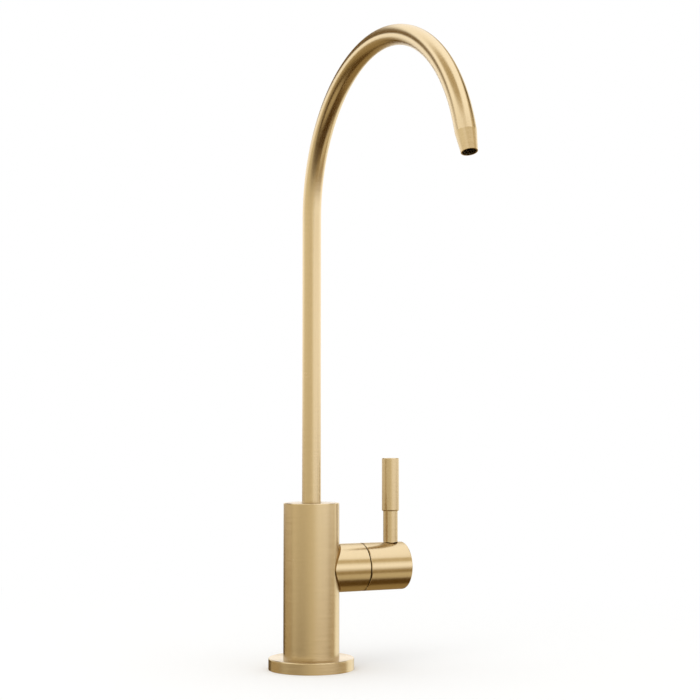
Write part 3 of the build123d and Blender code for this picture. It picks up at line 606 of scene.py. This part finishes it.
def tube_tree():
    """Tree that gives a centre line a round wall, and notes how the brush went round it."""
    tree, given = new_geometry_tree("bent_tube", ["Radius", "Wall"], ["Sides"])
    marked = add_node(tree, "GeometryNodeCaptureAttribute", {"Geometry": given["Geometry"]})
    marked.capture_items.new("FLOAT", "along")
    marked.capture_items.new("VECTOR", "direction")
    length = add_node(tree, "GeometryNodeSplineParameter").outputs["Length"]
    tangent = add_node(tree, "GeometryNodeInputTangent").outputs["Tangent"]
    tree.links.new(length, marked.inputs["along"])
    tree.links.new(tangent, marked.inputs["direction"])
    ring = add_node(
        tree, "GeometryNodeCurvePrimitiveCircle",
        {"Resolution": given["Sides"], "Radius": given["Radius"]},
    ).outputs["Curve"]
    skin = add_node(
        tree, "GeometryNodeCurveToMesh",
        {"Curve": marked.outputs["Geometry"], "Profile Curve": ring},
    ).outputs["Mesh"]
    normal = add_node(tree, "GeometryNodeInputNormal").outputs["Normal"]
    around = vector_math(tree, "CROSS_PRODUCT", marked.outputs["direction"], normal)
    measured = add_node(
        tree, "GeometryNodeStoreNamedAttribute",
        {"Geometry": skin, "Name": "brush_along", "Value": marked.outputs["along"]},
        data_type="FLOAT", domain="POINT",
    ).outputs["Geometry"]
    outside = add_node(
        tree, "GeometryNodeStoreNamedAttribute",
        {"Geometry": measured, "Name": "brush_around", "Value": around},
        data_type="FLOAT_VECTOR", domain="POINT",
    ).outputs["Geometry"]
    # The inside is the outside moved in by the wall and turned over, with a rim at both ends
    inward = number_math(tree, "MULTIPLY", given["Wall"], -1.0)
    moved = add_node(
        tree, "GeometryNodeExtrudeMesh",
        {"Mesh": outside, "Offset Scale": inward, "Individual": False}, mode="FACES",
    ).outputs["Mesh"]
    inside = add_node(tree, "GeometryNodeFlipFaces", {"Mesh": moved}).outputs["Mesh"]
    both = add_node(tree, "GeometryNodeJoinGeometry")
    tree.links.new(inside, both.inputs["Geometry"])
    tree.links.new(outside, both.inputs["Geometry"])
    closed = add_node(
        tree, "GeometryNodeMergeByDistance",
        {"Geometry": both.outputs["Geometry"], "Distance": WELD},
    ).outputs["Geometry"]
    end_geometry_tree(tree, closed, given["Material"])
    return tree


def thread_tree():
    """Tree that winds a V-shaped ridge round a plain nipple and joins the two."""
    tree, given = new_geometry_tree(
        "shank_thread",
        ["Coil radius", "Height", "Foot width", "Crest width", "Bottom", "Length", "Turns"],
        ["Sides"],
    )
    coil = add_node(
        tree, "GeometryNodeCurveSpiral",
        {
            "Resolution": given["Sides"], "Rotations": given["Turns"],
            "Start Radius": given["Coil radius"], "End Radius": given["Coil radius"],
            "Height": given["Length"],
        },
    ).outputs["Curve"]
    upright = add_node(
        tree, "GeometryNodeSetCurveNormal", {"Curve": coil}, mode="Z_UP",
    ).outputs["Curve"]
    # The thread runs out at both ends: in its first and last turn it sinks into the nipple
    factor = add_node(tree, "GeometryNodeSplineParameter").outputs["Factor"]
    back = number_math(tree, "SUBTRACT", 1.0, factor)
    nearest = number_math(tree, "MINIMUM", factor, back)
    turn = number_math(tree, "MULTIPLY", nearest, given["Turns"])
    squeeze = add_node(
        tree, "ShaderNodeMapRange", {"Value": turn, "To Min": RUN_OUT, "To Max": 1.0},
    ).outputs["Result"]
    scale = add_node(
        tree, "ShaderNodeCombineXYZ", {"X": squeeze, "Y": squeeze, "Z": 1.0},
    ).outputs["Vector"]
    position = add_node(tree, "GeometryNodeInputPosition").outputs["Position"]
    scaled = vector_math(tree, "MULTIPLY", position, scale)
    lift = add_node(tree, "ShaderNodeCombineXYZ", {"Z": given["Bottom"]}).outputs["Vector"]
    wound = add_node(
        tree, "GeometryNodeSetPosition", {"Geometry": upright, "Position": scaled, "Offset": lift},
    ).outputs["Geometry"]
    section = add_node(
        tree, "GeometryNodeCurvePrimitiveQuadrilateral",
        {
            "Height": given["Height"], "Bottom Width": given["Foot width"],
            "Top Width": given["Crest width"], "Offset": 0.0,
        },
        mode="TRAPEZOID",
    ).outputs["Curve"]
    turned = add_node(
        tree, "GeometryNodeTransform",
        {"Geometry": section, "Rotation": (0.0, 0.0, math.radians(90))},
    ).outputs["Geometry"]
    ridge = add_node(
        tree, "GeometryNodeCurveToMesh",
        {"Curve": wound, "Profile Curve": turned, "Fill Caps": True},
    ).outputs["Mesh"]
    whole = add_node(tree, "GeometryNodeMeshBoolean", operation="UNION", solver="MANIFOLD")
    tree.links.new(given["Geometry"], whole.inputs["Mesh 2"])
    tree.links.new(ridge, whole.inputs["Mesh 2"])
    end_geometry_tree(tree, whole.outputs["Mesh"], given["Material"])
    return tree


def turned_mesh(name, outline, sides):
    """A closed mesh turned about the upright axis from an outline of (radius, height) points."""
    shape = bmesh.new()
    angles = [2 * math.pi * i / sides for i in range(sides)]
    rings = [
        [shape.verts.new((radius * math.cos(a), radius * math.sin(a), height)) for a in angles]
        for radius, height in outline
    ]
    for low, high in zip(rings, rings[1:] + rings[:1]):
        for i in range(sides):
            shape.faces.new((low[i], low[i - 1], high[i - 1], high[i]))
    bmesh.ops.recalc_face_normals(shape, faces=shape.faces)
    return finished_mesh(name, shape)


class FAUCET_OT_spout_tube(bpy.types.Operator):
    """Make the bent tube in satin brass, in place of the CAD tube"""

    bl_idname = "faucet.spout_tube"
    bl_label = "Gooseneck tube"

    def execute(self, context):
        settings = context.scene.faucet
        spout = settings.spout
        piece = made_piece(
            spout_line(spout), tube_tree(),
            {
                "Radius": spout.diameter / 2, "Wall": spout.wall, "Sides": spout.sides,
                "Material": satin_brass("satin_brass_tube", settings.finish),
            },
            "gooseneck_tube",
        )
        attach(piece, "spout")
        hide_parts("spout_tube")
        return {"FINISHED"}


class FAUCET_OT_shank(bpy.types.Operator):
    """Make the hollow nipple with its thread, in place of the CAD shank"""

    bl_idname = "faucet.shank"
    bl_label = "Threaded shank"

    def execute(self, context):
        settings = context.scene.faucet
        thread = settings.thread
        low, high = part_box("threaded_shank")
        crest = (high.x - low.x) / 2
        core = crest - thread.depth
        ridge = thread.depth + thread.sink
        bottom = low.z + thread.depth
        length = high.z - low.z - 2 * thread.depth
        nipple = turned_mesh(
            "nipple",
            [(thread.bore / 2, low.z), (core, low.z), (core, high.z), (thread.bore / 2, high.z)],
            thread.sides,
        )
        piece = made_piece(
            shown("nipple", nipple), thread_tree(),
            {
                "Coil radius": crest - ridge / 2, "Height": ridge,
                "Foot width": FOOT_SHARE * thread.pitch,
                "Crest width": CREST_SHARE * thread.pitch,
                "Bottom": bottom, "Length": length, "Turns": length / thread.pitch,
                "Sides": thread.sides,
                "Material": machined_brass("machined_brass_shank", settings.finish, UP, (0, 0, 0)),
            },
            "threaded_nipple",
        )
        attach(piece, "body")
        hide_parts("threaded_shank")
        return {"FINISHED"}


class FAUCET_OT_satin_pieces(bpy.types.Operator):
    """Brush the flange, body, collar, hub, lever and nozzle, each round its own axis"""

    bl_idname = "faucet.satin_pieces"
    bl_label = "Satin brass pieces"

    def execute(self, context):
        finish = context.scene.faucet.finish
        tip = tip_direction(context.scene.faucet.spout)
        give(satin_brass("satin_brass_body", finish, UP, (0, 0, 0)), "base_flange", "faucet_body")
        give(
            satin_brass("satin_brass_barrel", finish, RIGHT, middle("handle_hub")),
            "valve_collar", "handle_hub",
        )
        give(
            satin_brass("satin_brass_lever", finish, UP, middle("lever_grip")),
            "lever_stem", "lever_grip",
        )
        give(
            satin_brass("satin_brass_nozzle", finish, tip, middle("spout_nozzle")),
            "spout_nozzle",
        )
        return {"FINISHED"}


class FAUCET_OT_brass_pieces(bpy.types.Operator):
    """Finish the nut, the swivel fitting and the cartridge in bare turned brass"""

    bl_idname = "faucet.brass_pieces"
    bl_label = "Machined brass pieces"

    def execute(self, context):
        finish = context.scene.faucet.finish
        give(
            machined_brass("machined_brass_upright", finish, UP, (0, 0, 0)),
            "mounting_nut", "swivel_insert",
        )
        give(
            machined_brass("machined_brass_cartridge", finish, RIGHT, middle("handle_hub")),
            "cartridge_body", "cartridge_spindle",
        )
        return {"FINISHED"}


class FAUCET_OT_steel_pieces(bpy.types.Operator):
    """Finish the washers, clips, ring and screw in steel"""

    bl_idname = "faucet.steel_pieces"
    bl_label = "Steel pieces"

    def execute(self, context):
        finish = context.scene.faucet.finish
        # Zinc-plated steel, stamped from strip: pale, faintly blue, softly cloudy
        give(
            sheet_steel("zinc_plated_steel", finish.zinc_colour, roughness=0.33, grain=0.5 * MM),
            "clamp_washer", "lock_washer",
        )
        # Spring steel, blanked and tumbled: darker and plainer than the zinc
        spring = sheet_steel(
            "tumbled_spring_steel", finish.spring_colour, roughness=0.28, grain=0.4 * MM,
        )
        give(spring, "stop_clip", "hub_set_screw", "spout_snap_ring")
        return {"FINISHED"}


class FAUCET_OT_soft_pieces(bpy.types.Operator):
    """Finish the gasket, washers and seals in black rubber"""

    bl_idname = "faucet.soft_pieces"
    bl_label = "Rubber pieces"

    def execute(self, context):
        finish = context.scene.faucet.finish
        # Nitrile rubber, pressed in a mould: nearly black, dull, with a fine pore
        rubber = moulded(
            "moulded_nitrile_rubber", finish.rubber_colour,
            {"IOR": 1.52, "Specular IOR Level": 0.4},
            roughness=0.62, grain=0.6 * MM, relief=0.02 * MM,
        )
        give(
            rubber, "base_gasket", "deck_washer", "inlet_washer", "inlet_o_ring",
            "cartridge_o_ring", "seat_seal", "spindle_o_rings", "spout_o_rings",
        )
        return {"FINISHED"}


class FAUCET_OT_plastic_pieces(bpy.types.Operator):
    """Finish the connector, collet, outlet insert and slippery washers in plastic"""

    bl_idname = "faucet.plastic_pieces"
    bl_label = "Plastic pieces"

    def execute(self, context):
        finish = context.scene.faucet.finish
        # Acetal, injection moulded: milky, with a little light in its edges and a satin shine
        acetal = {"IOR": 1.48, "Subsurface Weight": 0.15, "Subsurface Scale": 0.8 * MM}
        acetals = (
            ("moulded_white_acetal", finish.acetal_colour, "inlet_connector"),
            ("moulded_grey_acetal", finish.collet_colour, "inlet_collet"),
        )
        for name, colour, node in acetals:
            plastic = moulded(
                name, colour, acetal, roughness=0.38, grain=0.8 * MM, relief=0.01 * MM,
            )
            give(plastic, node)
        # Black ABS, injection moulded with a matt grain: keeps the mouth dark
        black = moulded(
            "moulded_black_abs", finish.insert_colour,
            {"IOR": 1.54, "Specular IOR Level": 0.25},
            roughness=0.72, grain=0.6 * MM, relief=0.01 * MM,
        )
        give(black, "outlet_insert")
        # PTFE, skived from rod: waxy white and soft
        waxy = moulded(
            "skived_ptfe", finish.washer_colour,
            {"IOR": 1.38, "Subsurface Weight": 0.2, "Subsurface Scale": 1.0 * MM},
            roughness=0.45, grain=0.5 * MM, relief=0.01 * MM,
        )
        give(waxy, "spindle_washer", "spout_washer")
        return {"FINISHED"}


class FAUCET_OT_ceramic_discs(bpy.types.Operator):
    """Finish the two valve discs in lapped ceramic"""

    bl_idname = "faucet.ceramic_discs"
    bl_label = "Ceramic discs"

    def execute(self, context):
        finish = context.scene.faucet.finish
        # Alumina, sintered and lapped flat: hard white with an even low shine
        alumina = moulded(
            "lapped_alumina", finish.ceramic_colour, {"IOR": 1.76},
            roughness=0.2, grain=0.4 * MM, relief=0.004 * MM,
        )
        give(alumina, "fixed_disc", "moving_disc")
        return {"FINISHED"}


def floor_material(stage):
    """Plain pale floor that takes the faucet's shadow and can be seen through from below."""
    material, tree = empty_material("painted_floor")
    place = add_node(tree, "ShaderNodeTexCoord").outputs["Object"]
    outer = soft_step(tree, vector_math(tree, "LENGTH", place), *FLOOR_FADE)
    seen = add_node(tree, "ShaderNodeLightPath").outputs["Is Camera Ray"]
    white = number_math(tree, "MULTIPLY", outer, seen)
    paint = add_node(
        tree, "ShaderNodeBsdfDiffuse", {"Color": (*stage.floor_colour, 1.0)},
    ).outputs["BSDF"]
    glow = add_node(tree, "ShaderNodeEmission", {"Color": WHITE, "Strength": 1.0}).outputs[0]
    top = add_node(tree, "ShaderNodeMixShader", {0: white, 1: paint, 2: glow}).outputs[0]
    clear = add_node(tree, "ShaderNodeBsdfTransparent").outputs[0]
    below = add_node(tree, "ShaderNodeNewGeometry").outputs["Backfacing"]
    sides = add_node(tree, "ShaderNodeMixShader", {0: below, 1: top, 2: clear}).outputs[0]
    add_node(tree, "ShaderNodeOutputMaterial", {"Surface": sides})
    return material


def tent_material(stage):
    """What the metal mirrors: cool white cloth above a brown table, with soft cards on both."""
    material, tree = empty_material("tent_and_table")
    material.cycles.emission_sampling = "NONE"
    place = add_node(tree, "ShaderNodeTexCoord").outputs["Object"]
    look = vector_math(tree, "NORMALIZE", place)
    rise = add_node(tree, "ShaderNodeSeparateXYZ", {"Vector": look}).outputs["Z"]
    far = soft_step(tree, rise, *TABLE_BLEND)
    above = soft_step(tree, rise, *CLOTH_BLEND)
    # Straight below the faucet the table takes the near colour, which is painted shade of the
    # faucet
    table = colour_mix(tree, far, (*stage.table_near_shaded, 1.0), (*stage.table_far, 1.0))
    light = colour_mix(tree, above, table, (*stage.tent_white, 1.0))
    for name, azimuth, elevation, half_width, half_height, colour in CARDS:
        turn, tilt = math.radians(azimuth), math.radians(elevation)
        level = Vector((math.sin(turn), math.cos(turn), 0))
        aim = level * math.cos(tilt) + UP * math.sin(tilt)
        side = Vector((math.cos(turn), -math.sin(turn), 0))
        top = aim.cross(side)
        half_side = side / math.sin(math.radians(half_width))
        half_top = top / math.sin(math.radians(half_height))
        across = vector_math(tree, "DOT_PRODUCT", look, half_side)
        up = vector_math(tree, "DOT_PRODUCT", look, half_top)
        flat = add_node(tree, "ShaderNodeCombineXYZ", {"X": across, "Y": up}).outputs["Vector"]
        inside = soft_step(tree, vector_math(tree, "LENGTH", flat), *CARD_FADE)
        facing = vector_math(tree, "DOT_PRODUCT", look, aim)
        ahead = number_math(tree, "GREATER_THAN", facing, 0.0)
        card = number_math(tree, "MULTIPLY", inside, ahead)
        light = colour_mix(tree, card, light, (*srgb(colour), 1.0))
        light.node.label = name
    # Where one piece mirrors another, the tent is seen by the second reflection and is dimmer,
    # which keeps the creases brown
    bounces = add_node(tree, "ShaderNodeLightPath").outputs["Glossy Depth"]
    twice = number_math(tree, "GREATER_THAN", bounces, 1.5)
    strength = number_mix(tree, twice, 1.0, stage.tent_twice)
    glow = add_node(tree, "ShaderNodeEmission", {"Color": light, "Strength": strength}).outputs[0]
    add_node(tree, "ShaderNodeOutputMaterial", {"Surface": glow})
    return material


def round_floor(stage):
    """The flat floor, face up. The metal mirrors the tent in its place."""
    shape = bmesh.new()
    bmesh.ops.create_circle(shape, cap_ends=True, segments=96, radius=stage.floor_radius)
    bmesh.ops.translate(shape, verts=shape.verts, vec=UP * -FLOOR_DROP)
    mesh = finished_mesh("floor", shape)
    mesh.materials.append(floor_material(stage))
    floor = shown("floor", mesh)
    floor.visible_glossy = False
    return floor


def light_tent(stage):
    """The tent, there for the metal only: nothing else sees it, and it throws no light."""
    shape = bmesh.new()
    bmesh.ops.create_uvsphere(shape, u_segments=64, v_segments=32, radius=stage.tent_radius)
    mesh = finished_mesh("light_tent", shape)
    mesh.shade_smooth()
    mesh.materials.append(tent_material(stage))
    tent = shown("light_tent", mesh)
    tent.visible_camera = False
    tent.visible_diffuse = False
    tent.visible_shadow = False
    tent.visible_transmission = False
    tent.visible_volume_scatter = False
    return tent


def soft_lamp(stage):
    """A wide lamp from the front left that gives the soft shadow. The metal doesn't mirror it."""
    lamp = bpy.data.lights.new("soft_lamp", "AREA")
    lamp.shape = "SQUARE"
    lamp.size = LAMP_WIDTH
    lamp.energy = stage.lamp_power
    lit = shown("soft_lamp", lamp)
    lit.location = LAMP_PLACE
    lit.rotation_euler = (LAMP_AIM - LAMP_PLACE).to_track_quat("-Z", "Y").to_euler()
    lit.visible_glossy = False


def surroundings(scene, stage):
    """White for the camera, for metal and for glass, and a plain even light for the rest."""
    world = bpy.data.worlds.new("white_surroundings")
    scene.world = world
    world.use_nodes = True
    tree = world.node_tree
    tree.nodes.clear()
    path = add_node(tree, "ShaderNodeLightPath").outputs
    seen = number_math(tree, "ADD", path["Is Camera Ray"], path["Is Glossy Ray"])
    white = number_math(tree, "ADD", seen, path["Is Transmission Ray"], use_clamp=True)
    strength = number_mix(tree, white, stage.sky_light, 1.0)
    sky = add_node(tree, "ShaderNodeBackground", {"Color": WHITE, "Strength": strength})
    add_node(tree, "ShaderNodeOutputWorld", {"Surface": sky.outputs["Background"]})


def photo_camera(scene, stage):
    """The camera that sees the faucet as the photograph does."""
    lens = bpy.data.cameras.new("camera")
    lens.lens = stage.camera_lens
    lens.sensor_width = 36
    lens.clip_start = 0.01
    camera = shown("camera", lens)
    camera.location = stage.camera_place
    camera.rotation_euler = stage.camera_turn
    scene.camera = camera


class FAUCET_OT_stage(bpy.types.Operator):
    """Set the floor, the light tent, the lamp, the surroundings and the camera"""

    bl_idname = "faucet.stage"
    bl_label = "Floor, light and camera"

    def execute(self, context):
        scene = context.scene
        stage = scene.faucet.stage
        floor = round_floor(stage)
        tent = light_tent(stage)
        soft_lamp(stage)
        surroundings(scene, stage)
        photo_camera(scene, stage)
        scene.view_settings.view_transform = "Standard"
        return {"FINISHED"}


class FAUCET_PT_sidebar(bpy.types.Panel):
    """The faucet's settings and pieces"""

    bl_idname = "FAUCET_PT_sidebar"
    bl_label = "Drinking water faucet"
    bl_space_type = "VIEW_3D"
    bl_region_type = "UI"
    bl_category = "Faucet"

    def draw(self, context):
        settings = context.scene.faucet
        for part in ("spout", "thread", "finish", "stage"):
            box = self.layout.box()
            box.label(text=part.capitalize())
            group = getattr(settings, part)
            for name in group.bl_rna.properties.keys():
                if name not in ("rna_type", "name"):
                    box.prop(group, name)
        for piece in PIECES:
            self.layout.operator(piece.bl_idname)


PIECES = (
    FAUCET_OT_stage, FAUCET_OT_spout_tube, FAUCET_OT_shank, FAUCET_OT_satin_pieces,
    FAUCET_OT_brass_pieces, FAUCET_OT_steel_pieces, FAUCET_OT_soft_pieces,
    FAUCET_OT_plastic_pieces, FAUCET_OT_ceramic_discs,
)
CLASSES = (
    SpoutSizes, ThreadSizes, FinishSizes, StageSizes, FaucetSettings, *PIECES, FAUCET_PT_sidebar,
)


def register():
    for kind in CLASSES:
        bpy.utils.register_class(kind)
    bpy.types.Scene.faucet = PointerProperty(type=FaucetSettings)


def unregister():
    del bpy.types.Scene.faucet
    for kind in reversed(CLASSES):
        bpy.utils.unregister_class(kind)


def main():
    register()
    bpy.ops.faucet.stage()
    bpy.ops.faucet.spout_tube()
    bpy.ops.faucet.shank()
    bpy.ops.faucet.satin_pieces()
    bpy.ops.faucet.brass_pieces()
    bpy.ops.faucet.steel_pieces()
    bpy.ops.faucet.soft_pieces()
    bpy.ops.faucet.plastic_pieces()
    bpy.ops.faucet.ceramic_discs()


if __name__ == "__main__":
    main()
